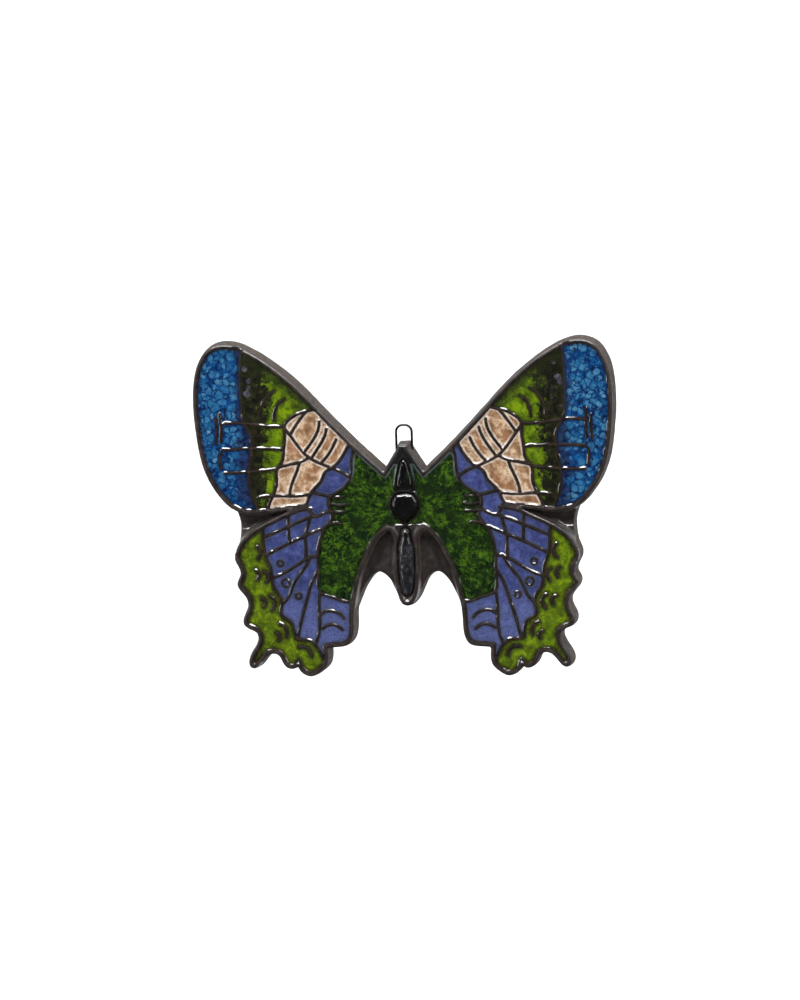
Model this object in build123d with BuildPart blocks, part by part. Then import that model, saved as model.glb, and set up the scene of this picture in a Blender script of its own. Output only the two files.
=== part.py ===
from build123d import *
import os

os.makedirs("parts", exist_ok=True)

# Butterfly brooch in millimetres. +Z is up, the front faces -Y, the flat back lies at Y = 0 and X = 0 is the
# plane of symmetry. Curves are drawn for the right half as (X, Z) points and mirrored.
# Thicknesses are measured from the flat back towards the front.
WEB_T = 2.2  # sunken webs between the wings and beside the abdomen
FLOOR_T = 3.0  # bottom of the glaze pools
GLAZE_T = 3.55  # top of the glaze pools
VEIN_T = 3.8  # raised vein lines
RIM_T = 4.1  # raised rim
BODY_T = 4.9  # top of the thorax and of the abdomen ridge
RIM_W = 0.48  # flat top of the rim
LEDGE_W = 0.22  # from the rim down to the pools, at vein height
VEIN_W = 0.32
SMALLEST_CELL = 0.35  # mm2, anything smaller between two veins is filled with clay
HALF_SPAN = 36.0
BODY_TAPER = 30.0
TO_FRONT = (0, -1, 0)

# Glued-on pin back, viewed in the same frame: it stands out of the back towards +Y.
RECESS_X, RECESS_Z, RECESS_DEEP, RECESS_R = 34.0, 6.6, 0.6, 1.5
PAD_X, PAD_Z, PAD_T = 32.0, 5.2, 0.25
BAR_X, BAR_Z, BAR_T, BAR_R = 31.0, 4.6, 0.8, 1.2
BAR_HOLE_R, BAR_HOLE_X = 0.8, 5.5
PIN_Y = 2.6  # height of the pin axis above the clay back
PIN_R, PIN_ROOT_R, PIN_X0, PIN_X1, PIN_TIP_X = 0.4, 0.48, -11.2, 10.6, 15.4  # shank from X0 to X1
HINGE_X = -13.0
RIVET_R, RIVET_HEAD_R, RIVET_HEAD_T = 0.5, 0.85, 0.35
KNUCKLE_R, KNUCKLE_HALF = 1.0, 0.5
EAR_GAP, EAR_T, EAR_R = 0.55, 0.6, 1.1
RUNNING = 0.05  # radial clearance of the two moving pieces
CATCH_X0, CATCH_X1 = 11.2, 13.4
HOUSING_R, HOUSING_BORE, SLOT_W = 1.85, 1.35, 1.1
ROTOR_BORE, FLANGE_R, FLANGE_T, FLANGE_GAP = 0.75, 1.8, 0.45, 0.08
TAB_R, TAB_W, TAB_ANGLE = 3.0, 1.0, 50.0

# Loop of wire fired into the top of the head.
WIRE_R, LOOP_HALF, LOOP_TOP, LOOP_ROOT, LOOP_BEND, LOOP_T = 0.2, 1.3, 11.7, 5.4, 1.15, 2.0

# Front outline of the raised relief, clockwise from the head.
HEAD = [(0, 8.6), (0.8, 8.6), (1.0, 7.8), (3.3, 4.3)]
FOREWING = [(3.3, 4.3), (7.8, 8.5), (13.6, 14.5), (17.5, 18.6), (21.4, 21.9), (25.25, 24.4), (29.0, 25.6),
            (31.8, 24.9), (33.3, 23.2), (34.4, 19.8), (34.7, 15.5), (34.3, 10), (33.3, 5), (31.0, 0.6),
            (28.0, -2.1), (24.8, -2.6), (19.45, -2.1)]
HIND_TOP = [(19.45, -2.1), (22.95, -3.8), (26.55, -6.0), (28.4, -8.6), (28.65, -10.1), (28.0, -11.5),
            (27.8, -12.7), (28.4, -14.2), (27.9, -15.4), (26.9, -16.7), (26.75, -18.2), (27.6, -20.7),
            (27.2, -21.5), (25.95, -22.1), (25.2, -23.0)]
TAIL = [(25.2, -23.0), (25.95, -25.2), (26.9, -27.4), (26.65, -28.25), (25.85, -28.45), (25.25, -28.1),
        (24.2, -26.8), (22.95, -26.0), (21.85, -26.3), (21.3, -27.3), (20.6, -28.3), (19.75, -28.6),
        (18.75, -28.2)]
LOBE = [(18.75, -28.2), (17.8, -29.4), (16.6, -29.85), (14.75, -29.0), (13.8, -28.0), (13.5, -26.4),
        (13.6, -25.1)]
INNER = [(13.6, -25.1), (11.85, -24.95), (10.1, -24.5), (9.35, -23.3), (9.05, -20.0), (8.65, -17),
         (7.7, -13), (6.05, -9.2), (4.2, -6.3), (3.0, -5.35)]
ABDOMEN_SIDE = [(3.0, -5.35), (2.25, -6.2), (2.05, -9.5), (2.05, -13), (1.55, -16.4), (0.85, -17.8),
                (0, -18.1)]

# Webs, lower than the relief: one in the notch between the wings, one beside the abdomen.
# Each has a curved free edge; its remaining corners are hidden under the relief.
NOTCH_EDGE = [(28.7, -1.3), (28.1, -2.8), (27.75, -4.2), (27.75, -6.0), (28.2, -8.6)]
NOTCH_HIDDEN = [(26.25, -6.3), (19.45, -2.9), (19.45, -2.0)]
ARCH_EDGE = [(9.0, -18.7), (7.9, -16.2), (6.45, -13.7), (4.85, -12.65), (3.35, -13.5), (2.1, -15.9),
             (0.8, -17.8)]
ARCH_HIDDEN = [(0.95, -5.0), (4.85, -5.0), (9.7, -12.0)]

# Boundaries between the colours. They run from rim to rim and each one is also a raised vein.
TIP_LINE = [(26.3, 26.5), (26.8, 21), (26.8, 16), (26.4, 12.6), (25.3, 10.5), (25.5, 6.5), (25.9, 2.5),
            (25.3, -0.3), (23.9, -3.0)]
CREAM_EDGE = [(13.5, 15.9), (14.8, 14.6), (16.6, 14.2), (18.4, 13.3), (19.5, 12.2), (19.6, 10.2),
              (19.9, 7.8), (20.2, 6.0), (21.1, 4.8), (21.2, 3.0), (21.7, 0.9), (22.6, -0.9), (22.9, -2.2)]
CREAM_ROOT = [(7.9, 10.5), (9.0, 8.8), (10.2, 6.7), (11.9, 5.0), (13.1, 4.2), (13.7, 2.9), (14.6, 1.9),
              (15.6, 0.7), (16.2, -0.6), (16.7, -1.8)]
ROOT_LINE = [(7.0, 9.4), (8.55, 6.3), (8.65, 4.5), (9.15, 2.7), (10.3, 1.4), (12.25, 0.2), (12.35, -2.2)]
JOINT_LINE = [(16.2, -1.75), (15.75, -2.4), (15.2, -3.05), (13.8, -2.75), (12.35, -2.2)]
GREEN_EDGE = [(12.35, -2.2), (12.25, -3.5), (13.5, -5.2), (14.3, -7), (14.75, -9.4), (14.75, -12),
              (14.85, -14), (14.5, -15.8), (12.65, -16.6), (10.7, -17.3), (7.7, -17.2)]
LIME_LINE = [(24.0, -3.6), (23.8, -6.8), (23.5, -9.6), (22.75, -11.6), (22.25, -15), (21.0, -17.3),
             (21.2, -19.6), (19.65, -20.8), (18.75, -23.5), (16.8, -23.8), (15.15, -25.4), (13.8, -28.8)]

# Wedge of bare clay between the two wings.
WING_JOINT = [(15.4, -1.95), (15.4, -1.7), (17.2, -1.35), (19.8, -1.35), (19.8, -2.95), (17.2, -2.2)]

# The tip of the tail is too narrow for a pool and stays bare clay.
TAIL_TIP, TAIL_TIP_R = (26.15, -27.75), 0.5

# Veins inside one colour.
FOREWING_VEINS = [
    [(30.3, 12.3), (26.4, 12.5), (23.0, 12.0), (19.6, 12.0)],
    [(30.3, 8.1), (25.4, 8.3), (20.0, 8.1)],
    [(30.1, 4.3), (25.7, 4.4), (21.1, 4.9)],
    [(24.5, 0.1), (22.0, 0.4), (19.0, 0.3), (15.6, 0.7)],
    [(19.6, 11.6), (17.6, 8.8), (15.8, 6.8), (14.1, 5.8), (11.9, 4.9), (8.8, 3.1)],
    [(18.6, 10.6), (17.6, 12.2), (16.6, 13.5), (15.9, 14.3)],
    [(16.4, 7.6), (14.9, 9.6), (14.0, 11.3), (13.8, 12.9)],
    [(15.2, 6.7), (13.8, 8.7), (12.9, 10.4), (12.6, 11.6)],
    [(13.7, 5.8), (12.4, 7.2), (11.6, 8.5), (11.0, 9.8)],
    [(21.1, 5.0), (19.3, 5.5), (17.4, 5.9), (15.7, 6.7)],
    [(17.3, 5.9), (18.2, 3.5), (18.9, 1.7), (19.1, 0.3)],
    [(15.6, 1.0), (13.8, 0.5), (12.25, 0.2)],
    [(23.6, 12.8), (23.4, 15.0), (22.5, 16.6), (21.1, 17.8)],
    [(21.3, 12.8), (21.0, 14.6), (20.4, 15.8), (19.3, 16.4)],
    [(30.4, 14.4), (30.2, 12.4), (30.3, 9.3)],
    [(31.1, 13.4), (31.0, 11.4), (31.2, 9.0)],
    [(30.4, 7.8), (30.6, 6.2), (30.4, 4.8)],
]
HINDWING_VEINS = [
    [(15.2, -3.05), (17.0, -3.7), (19.6, -4.8), (23.8, -6.5)],
    [(13.3, -4.9), (16.9, -6.4), (20.2, -7.9), (23.5, -9.5)],
    [(14.75, -9.8), (16.5, -10.1), (18.0, -11.0), (20.9, -12.7), (22.35, -13.3)],
    [(16.15, -10.2), (17.5, -12.3), (18.75, -14.0), (19.95, -16.6), (21.0, -17.6)],
    [(14.85, -12.2), (16.05, -14.5), (16.8, -16.8), (17.9, -20.5), (18.65, -23.6)],
    [(15.75, -3.2), (16.35, -5.0), (16.8, -6.6)],
    [(16.8, -6.6), (16.7, -8.5), (16.8, -10.1)],
    [(19.45, -2.0), (19.55, -4.8), (19.35, -7.6)],
    [(14.6, -15.8), (14.85, -18.0), (14.85, -21.0), (15.65, -24.4)],
    [(14.7, -19.6), (13.4, -18.9), (11.65, -19.3), (10.7, -20.3)],
    [(14.5, -22.0), (12.65, -21.2), (11.0, -22.2)],
]
GREEN_VEINS = [
    [(12.25, 0.2), (11.0, 0.0), (9.9, 0.25)],
    [(12.3, -1.0), (10.9, -1.3), (9.6, -1.1)],
    [(12.35, -2.2), (10.9, -2.45), (9.9, -2.4)],
    [(13.2, -4.7), (11.7, -4.2), (10.6, -4.4)],
]
LIME_MARKS = [
    [(25.0, -7.9), (24.3, -9.0), (24.9, -10.3)],
    [(24.0, -12.1), (23.1, -13.0), (23.7, -14.2)],
    [(23.1, -16.3), (22.2, -17.4), (22.9, -18.7)],
    [(21.7, -20.9), (20.5, -21.9), (20.6, -23.3)],
    [(18.65, -25.0), (17.1, -25.1), (16.35, -26.6)],
    [(25.4, -11.9), (24.7, -12.7), (25.0, -13.6)],
    [(24.6, -16.6), (23.8, -17.4), (24.2, -18.2)],
    [(22.3, -22.4), (21.6, -23.0), (21.9, -23.8)],
]
RINGS = [(21.1, -10.9, 0.6), (20.3, -14.2, 0.75), (18.25, -16.4, 0.6)]

# Raised black body: head and chest, diamond thorax, tapering abdomen.
CHEST = [(0, 6.3), (0.55, 5.8), (0.85, 4.6), (1.2, 3.0), (1.35, 1.9), (1.15, 1.3), (0, 1.15)]
THORAX = [(0, 0.75), (1.45, 0.55), (2.15, -0.6), (2.25, -1.6), (1.75, -2.9), (0, -4.3)]
ABDOMEN = [(0, -4.85), (0.8, -5.4), (1.0, -6.8), (1.4, -8.4), (1.4, -12.0), (1.2, -14.4), (0.9, -15.8),
           (0.45, -16.4), (0, -16.55)]
BODY = (CHEST, THORAX, ABDOMEN)


def front(thickness):
    """Drawing plane parallel to the back, at the given thickness, facing the viewer."""
    return Plane.XZ.offset(thickness)


# Raised relief seen from the front.
STRETCHES = (FOREWING, HIND_TOP, TAIL, LOBE, INNER, ABDOMEN_SIDE)
with BuildSketch(Plane.XZ) as relief:
    with BuildLine() as relief_edge:
        Polyline(*HEAD)
        for stretch in STRETCHES:
            Spline(*stretch)
        mirror(about=Plane.YZ)
    make_face()


def inside(width):
    """The relief without a border of the given width along its edge."""
    corners = [stretch[0] for stretch in STRETCHES] + HEAD[1:3]
    with BuildSketch() as inner:
        add(relief.sketch_local)
        trace(relief_edge.line, line_width=2 * width, mode=Mode.SUBTRACT)
        with Locations(corners + [(-x, z) for x, z in corners]):
            Circle(width, mode=Mode.SUBTRACT)
    return inner.sketch_local.faces().sort_by(SortBy.AREA)[-1]


# The same outline with the webs added.
with BuildSketch(Plane.XZ) as slab:
    add(relief.sketch_local)
    for free_edge, hidden in ((NOTCH_EDGE, NOTCH_HIDDEN), (ARCH_EDGE, ARCH_HIDDEN)):
        with BuildSketch(mode=Mode.PRIVATE) as web_face:
            with BuildLine():
                Spline(*free_edge)
                Polyline(free_edge[-1], *hidden, free_edge[0])
            make_face()
        add(web_face.sketch_local)
        add(mirror(web_face.sketch_local, about=Plane.YZ, mode=Mode.PRIVATE))

# The sunken field inside the rim.
with BuildSketch(Plane.XZ) as field:
    add(inside(RIM_W))

# Glaze area of the right half: inside the rim, without the body, cut up by the veins.
with BuildSketch(Plane.XZ) as right_pools:
    add(inside(RIM_W + LEDGE_W))
    with Locations((HALF_SPAN / 2, 0)):
        Rectangle(HALF_SPAN, 2 * HALF_SPAN, mode=Mode.INTERSECT)
    for outline in BODY:
        with BuildSketch(mode=Mode.PRIVATE) as keep_clear:
            with BuildLine():
                Polyline(*outline, close=True)
            make_face()
            offset(amount=VEIN_W, kind=Kind.ARC)
        add(keep_clear.sketch_local, mode=Mode.SUBTRACT)
    with Locations((0, -12)):
        Rectangle(6.0, 14.6, mode=Mode.SUBTRACT)
    with Locations((0, 8)):
        Rectangle(5.0, 5.0, mode=Mode.SUBTRACT)
    with Locations(TAIL_TIP):
        Circle(TAIL_TIP_R, mode=Mode.SUBTRACT)
    with BuildLine():
        Polyline(*WING_JOINT, close=True)
    make_face(mode=Mode.SUBTRACT)
    borders = [TIP_LINE, CREAM_EDGE, CREAM_ROOT, ROOT_LINE, JOINT_LINE, GREEN_EDGE, LIME_LINE]
    for curve in borders + FOREWING_VEINS + HINDWING_VEINS + GREEN_VEINS + LIME_MARKS:
        with BuildLine(mode=Mode.PRIVATE) as vein:
            Spline(*curve)
        trace(vein.line, line_width=VEIN_W, mode=Mode.SUBTRACT)
    for ring_x, ring_z, ring_r in RINGS:
        with Locations((ring_x, ring_z)):
            Circle(ring_r, mode=Mode.SUBTRACT)
            Circle(ring_r - VEIN_W / 2)

# Colour regions of the right half, each one closed by the borders around it.
FAR = HALF_SPAN + 2
REGIONS = {
    "tip_blue_glaze": TIP_LINE + [(FAR, -3.4), (FAR, 26.5)],
    "forewing_green_glaze": TIP_LINE + CREAM_EDGE[::-1],
    "cream_glaze": CREAM_EDGE + CREAM_ROOT[::-1],
    "forewing_violet_glaze": CREAM_ROOT + JOINT_LINE[1:] + ROOT_LINE[-2::-1],
    "hindwing_violet_glaze": LIME_LINE + [(7.9, -28.8)] + GREEN_EDGE[::-1]
    + JOINT_LINE[:-1][::-1],
    "dark_green_glaze": ROOT_LINE + GREEN_EDGE[1:] + [(0, -17.2), (0, 9.4)],
    "lime_margin_glaze": LIME_LINE + [(14.2, -32), (FAR, -32), (FAR, -3.6)],
}


def cells_of(region):
    """Faces of the glaze cells inside one colour region of the right half, drawn at the pool floor."""
    with BuildSketch(front(FLOOR_T)) as cells:
        with BuildLine():
            Polyline(*region, close=True)
        make_face()
        add(right_pools.sketch_local, mode=Mode.INTERSECT)
    return [face for face in cells.sketch.faces() if face.area > SMALLEST_CELL]


CELLS = {colour: cells_of(region) for colour, region in REGIONS.items()}


def body_outline(points, thickness):
    """Closed outline of one body segment, both halves, at the given thickness."""
    with BuildSketch(front(thickness)) as outline:
        with BuildLine():
            Polyline(*points)
            mirror(about=Plane.YZ)
        make_face()
    return outline.sketch


with BuildPart() as clay_body:
    with BuildSketch(Plane.XZ):
        add(slab.sketch_local)
    extrude(amount=WEB_T)
    with BuildSketch(front(WEB_T)):
        add(relief.sketch_local)
    extrude(amount=RIM_T - WEB_T)
    # the field inside the rim is a little lower than the rim
    with BuildSketch(front(VEIN_T)):
        add(field.sketch_local)
    extrude(amount=RIM_T - VEIN_T, mode=Mode.SUBTRACT)
    # pools for the glazes, all cut in one step
    right_cells = [cell for faces in CELLS.values() for cell in faces]
    right_cut = extrude(right_cells, amount=RIM_T - FLOOR_T, dir=TO_FRONT, mode=Mode.PRIVATE)
    left_cut = mirror(right_cut, about=Plane.YZ, mode=Mode.PRIVATE)
    body_cells = [face for outline in BODY for face in body_outline(outline, FLOOR_T).faces()]
    body_cut = extrude(body_cells, amount=RIM_T - FLOOR_T, dir=TO_FRONT, mode=Mode.PRIVATE)
    add([right_cut, left_cut, body_cut], mode=Mode.SUBTRACT)
    # shallow recess in the back for the pin bar
    with BuildSketch(Plane.XZ):
        RectangleRounded(RECESS_X, RECESS_Z, RECESS_R)
    extrude(amount=RECESS_DEEP, mode=Mode.SUBTRACT)
    # the two legs of the wire loop
    with Locations((-LOOP_HALF, -LOOP_T, LOOP_ROOT), (LOOP_HALF, -LOOP_T, LOOP_ROOT)):
        Cylinder(WIRE_R, 6.0, align=(Align.CENTER, Align.CENTER, Align.MIN), mode=Mode.SUBTRACT)
clay_body.part.label = "clay_body"
export_step(clay_body.part, "parts/clay_body.step")


# Fired glazes: one node per colour and wing side, each a set of separate pools.
for colour, cells in CELLS.items():
    for side in ("right", "left"):
        with BuildPart() as glaze:
            extrude(cells, amount=GLAZE_T - FLOOR_T, dir=TO_FRONT)
            if side == "left":
                mirror(about=Plane.YZ, mode=Mode.REPLACE)
        glaze.part.label = f"{side}_{colour}"
        export_step(glaze.part, f"parts/{side}_{colour}.step")

with BuildPart() as body_black_glaze:
    for outline in BODY:
        extrude(body_outline(outline, FLOOR_T), amount=VEIN_T - FLOOR_T, dir=TO_FRONT)
        extrude(body_outline(outline, VEIN_T), amount=BODY_T - VEIN_T, taper=BODY_TAPER)
body_black_glaze.part.label = "body_black_glaze"
export_step(body_black_glaze.part, "parts/body_black_glaze.step")

with BuildPart() as wire_loop:
    with BuildLine(Plane.XZ.offset(LOOP_T)) as bent_wire:
        FilletPolyline((-LOOP_HALF, LOOP_ROOT), (-LOOP_HALF, LOOP_TOP), (LOOP_HALF, LOOP_TOP),
                       (LOOP_HALF, LOOP_ROOT), radius=LOOP_BEND)
    with BuildSketch(Plane.XY.offset(LOOP_ROOT)):
        with Locations((-LOOP_HALF, -LOOP_T)):
            Circle(WIRE_R)
    sweep(path=bent_wire.line)
wire_loop.part.label = "wire_loop"
export_step(wire_loop.part, "parts/wire_loop.step")


# Pin back. Its layers are stacked from the floor of the recess towards +Y.
PAD_Y = -RECESS_DEEP
BAR_Y = PAD_Y + PAD_T
BAR_TOP = BAR_Y + BAR_T

with BuildPart() as adhesive_pad:
    with BuildSketch(Plane.XZ.offset(-PAD_Y - PAD_T)):
        RectangleRounded(PAD_X, PAD_Z, BAR_R)
    extrude(amount=PAD_T)
adhesive_pad.part.label = "adhesive_pad"
export_step(adhesive_pad.part, "parts/adhesive_pad.step")

with BuildPart() as pin_bar:
    with BuildSketch(Plane.XZ.offset(-BAR_TOP)):
        RectangleRounded(BAR_X, BAR_Z, BAR_R)
        with Locations((-BAR_HOLE_X, 0), (BAR_HOLE_X, 0)):
            Circle(BAR_HOLE_R, mode=Mode.SUBTRACT)
    extrude(amount=BAR_T)
    # two hinge ears, one on each side of the knuckle
    for z in (-EAR_GAP - EAR_T, EAR_GAP):
        with BuildSketch(Plane.XY.offset(z)):
            with Locations((HINGE_X, PIN_Y)):
                Circle(EAR_R)
            with Locations((HINGE_X, BAR_TOP)):
                Rectangle(2 * EAR_R, PIN_Y - BAR_TOP, align=(Align.CENTER, Align.MIN))
            with Locations((HINGE_X, PIN_Y)):
                Circle(RIVET_R, mode=Mode.SUBTRACT)
        extrude(amount=EAR_T)
    # catch housing: a slotted tube on a short block
    with BuildSketch(Plane.YZ.offset(CATCH_X0)):
        with Locations((PIN_Y, 0)):
            Circle(HOUSING_R)
        with Locations((BAR_TOP, 0)):
            Rectangle(PIN_Y - BAR_TOP, 2.4, align=(Align.MIN, Align.CENTER))
        with Locations((PIN_Y, 0)):
            Circle(HOUSING_BORE, mode=Mode.SUBTRACT)
            Rectangle(HOUSING_R + 1, SLOT_W, align=(Align.MIN, Align.CENTER), mode=Mode.SUBTRACT)
    extrude(amount=CATCH_X1 - CATCH_X0)
pin_bar.part.label = "pin_bar"
export_step(pin_bar.part, "parts/pin_bar.step")

EAR_OUT = EAR_GAP + EAR_T
with BuildPart() as hinge_rivet:
    with Locations((HINGE_X, PIN_Y, 0)):
        Cylinder(RIVET_R, 2 * EAR_OUT)
    for z in (-EAR_OUT - RIVET_HEAD_T / 2, EAR_OUT + RIVET_HEAD_T / 2):
        with Locations((HINGE_X, PIN_Y, z)):
            Cylinder(RIVET_HEAD_R, RIVET_HEAD_T)
hinge_rivet.part.label = "hinge_rivet"
export_step(hinge_rivet.part, "parts/hinge_rivet.step")

# Pin: knuckle around the rivet, thicker root, round shank and a long sharpened point.
with BuildPart() as pin_stem:
    with BuildSketch(Plane.XY):
        with BuildLine():
            Polyline((HINGE_X, 0), (HINGE_X, PIN_ROOT_R), (PIN_X0, PIN_R), (PIN_X1, PIN_R),
                     (PIN_TIP_X, 0.05), (PIN_TIP_X, 0), close=True)
        make_face()
    revolve(axis=Axis.X)
    add(pin_stem.part.moved(Location((0, PIN_Y, 0))), mode=Mode.REPLACE)
    with Locations((HINGE_X, PIN_Y, 0)):
        Cylinder(KNUCKLE_R, 2 * KNUCKLE_HALF)
        Cylinder(RIVET_R + RUNNING, 2 * KNUCKLE_HALF, mode=Mode.SUBTRACT)
pin_stem.part.label = "pin_stem"
export_step(pin_stem.part, "parts/pin_stem.step")

# Safety lock: a slotted sleeve inside the housing with a flange at each end and a thumb tab.
FLANGE_IN = CATCH_X0 - FLANGE_GAP - FLANGE_T
FLANGE_OUT = CATCH_X1 + FLANGE_GAP
with BuildPart() as catch_rotor:
    with BuildSketch(Plane.YZ.offset(FLANGE_IN)):
        with Locations((PIN_Y, 0)):
            Circle(HOUSING_BORE - RUNNING)
    extrude(amount=FLANGE_OUT + FLANGE_T - FLANGE_IN)
    for x in (FLANGE_IN, FLANGE_OUT):
        with BuildSketch(Plane.YZ.offset(x)):
            with Locations((PIN_Y, 0)):
                Circle(FLANGE_R)
        extrude(amount=FLANGE_T)
    with BuildSketch(Plane.YZ.offset(FLANGE_OUT)):
        with Locations(Location((PIN_Y, 0), -TAB_ANGLE)):
            Rectangle(TAB_R, TAB_W, align=(Align.MIN, Align.CENTER))
    extrude(amount=FLANGE_T)
    with BuildSketch(Plane.YZ.offset(FLANGE_IN)):
        with Locations((PIN_Y, 0)):
            Circle(ROTOR_BORE)
            Rectangle(HOUSING_R + 1, SLOT_W, align=(Align.MIN, Align.CENTER))
    extrude(amount=FLANGE_OUT + FLANGE_T - FLANGE_IN, mode=Mode.SUBTRACT)
catch_rotor.part.label = "catch_rotor"
export_step(catch_rotor.part, "parts/catch_rotor.step")
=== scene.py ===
import math

import bmesh
import bpy
import numpy as np
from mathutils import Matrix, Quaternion, Vector, kdtree, noise
from mathutils.geometry import delaunay_2d_cdt


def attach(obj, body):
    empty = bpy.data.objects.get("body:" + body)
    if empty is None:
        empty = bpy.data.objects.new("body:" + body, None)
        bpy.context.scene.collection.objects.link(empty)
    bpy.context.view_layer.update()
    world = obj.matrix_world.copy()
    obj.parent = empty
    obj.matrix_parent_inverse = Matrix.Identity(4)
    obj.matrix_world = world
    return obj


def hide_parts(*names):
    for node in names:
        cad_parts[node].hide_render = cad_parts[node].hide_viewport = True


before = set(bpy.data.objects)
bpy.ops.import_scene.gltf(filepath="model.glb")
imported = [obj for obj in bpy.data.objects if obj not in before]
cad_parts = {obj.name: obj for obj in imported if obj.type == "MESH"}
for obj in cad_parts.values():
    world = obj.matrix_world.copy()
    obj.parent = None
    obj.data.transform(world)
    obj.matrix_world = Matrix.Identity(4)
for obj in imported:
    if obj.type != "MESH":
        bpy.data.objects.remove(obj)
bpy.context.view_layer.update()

# All the shaping below is done in millimetres, as (x, z) points and depths in front of the flat back.
MM = 0.001
WEB, FLOOR, GLAZE, VEIN, RIM = 2.2, 3.0, 3.55, 3.8, 4.1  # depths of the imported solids
RECESS = 0.6  # depth of the recess for the pin bar, from the back
OUTLINE_STEP = 0.2  # spacing of points along every outline
FINE = 0.14  # spacing of points on the clay relief
POOL_STEP = 0.18  # spacing of points on the glaze
BACK_STEP = 0.9  # spacing of points on the flat back
GLAZE_LEVEL, GLAZE_LUMPS = 3.4, 0.05
MENISCUS, MENISCUS_REACH = 0.26, 0.26  # how high and how far in the glaze climbs at its edge
BODY_LEVEL = 3.62  # where the three domes of the black body start
# height and rounding radius of each dome of the body
CHEST_DOME, THORAX_DOME, ABDOMEN_DOME = (0.45, 1.2), (0.85, 1.1), (1.25, 1.35)
THORAX_TOP, THORAX_FOOT = 1.0, -4.6  # z between the body's three parts
CREST_ROUND, RIM_ROUND, WEB_ROUND = 0.18, 0.3, 0.4  # rounding radii of veins, rim and web edge
RIM_WIDTH, RIM_SLOPE = 1.15, 0.6  # width of the raised rim and of the slope at its inner side
DRAFT = 0.3  # how far the cut edge of the slab leans outwards, front to back
BACK_ROUND = 0.12  # how far it turns in again at the back
SHARP_ANGLE = 50  # degrees, from which an edge stays sharp

GLAZES = ["tip_blue_glaze", "forewing_green_glaze", "cream_glaze", "forewing_violet_glaze",
          "hindwing_violet_glaze", "dark_green_glaze", "lime_margin_glaze"]


# ---------------------------------------------------------------- outlines

def outlines(node, depth):
    """Closed outlines around a node's flat faces at one depth; outer ones run anticlockwise."""
    bm = bmesh.new()
    bm.from_mesh(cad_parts[node].data)
    bmesh.ops.remove_doubles(bm, verts=bm.verts, dist=2e-6)
    flat = [f for f in bm.faces if all(abs(v.co.y + depth * MM) < 1e-5 for v in f.verts)]
    flat_set = set(flat)
    after = {}
    for face in flat:
        for corner in face.loops:
            if sum(f in flat_set for f in corner.edge.link_faces) == 1:
                after.setdefault(corner.vert, []).append(corner.link_loop_next.vert)
    rings = []
    for start in list(after):
        while after[start]:
            ring, vert = [start], after[start].pop()
            while vert is not start:
                ring.append(vert)
                vert = after[vert].pop()
            rings.append(np.array([(v.co.x, v.co.z) for v in ring]) / MM)
    bm.free()
    return [ring for ring in rings if abs(area(ring)) > 0.05]


def area(ring):
    x, z = ring[:, 0], ring[:, 1]
    return 0.5 * float(np.sum(x * np.roll(z, -1) - z * np.roll(x, -1)))


def evened(ring, step, passes=2):
    """The ring with points about one step apart, its facets smoothed a little."""
    nxt = np.roll(ring, -1, axis=0)
    lengths = np.linalg.norm(nxt - ring, axis=1)
    along = np.r_[0, np.cumsum(lengths)]
    count = max(8, int(round(along[-1] / step)))
    at = np.linspace(0, along[-1], count, endpoint=False)
    closed = np.vstack([ring, ring[:1]])
    out = np.stack([np.interp(at, along, closed[:, k]) for k in (0, 1)], axis=1)
    for _ in range(passes):
        out = 0.5 * out + 0.25 * (np.roll(out, 1, axis=0) + np.roll(out, -1, axis=0))
    return out


def inside(points, rings):
    """Even-odd test of many points against many rings."""
    hit = np.zeros(len(points), bool)
    for ring in rings:
        low, high = ring.min(0), ring.max(0)
        near = np.all((points >= low) & (points <= high), axis=1)
        p = points[near]
        if not len(p):
            continue
        a, b = ring, np.roll(ring, -1, axis=0)
        crosses = (a[:, 1] > p[:, 1:2]) != (b[:, 1] > p[:, 1:2])
        rise = np.where(b[:, 1] == a[:, 1], 1e-12, b[:, 1] - a[:, 1])
        at_x = (b[:, 0] - a[:, 0]) * (p[:, 1:2] - a[:, 1]) / rise + a[:, 0]
        odd = np.sum(crosses & (p[:, 0:1] < at_x), axis=1) % 2 == 1
        hit[np.flatnonzero(near)[odd]] ^= True
    return hit


class Nearness:
    """Distance from any point to the nearest of some rings."""

    def __init__(self, rings):
        dense = np.vstack([evened(r, 0.05, 0) for r in rings])
        self.tree = kdtree.KDTree(len(dense))
        for i, (x, z) in enumerate(dense):
            self.tree.insert((x, z, 0.0), i)
        self.tree.balance()

    def __call__(self, points):
        return np.array([self.tree.find((x, z, 0.0))[2] for x, z in points])


def grid_inside(rings, step, clear, nearness):
    """Staggered points inside the rings, none closer to them than clear."""
    low = np.min([r.min(0) for r in rings], axis=0)
    high = np.max([r.max(0) for r in rings], axis=0)
    rows = []
    for k, z in enumerate(np.arange(low[1], high[1], step * 0.87)):
        xs = np.arange(low[0] + (k % 2) * step / 2, high[0], step)
        rows.append(np.stack([xs, np.full(len(xs), z)], axis=1))
    points = np.vstack(rows)
    points = points[inside(points, rings)]
    return points[nearness(points) > clear]


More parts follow.
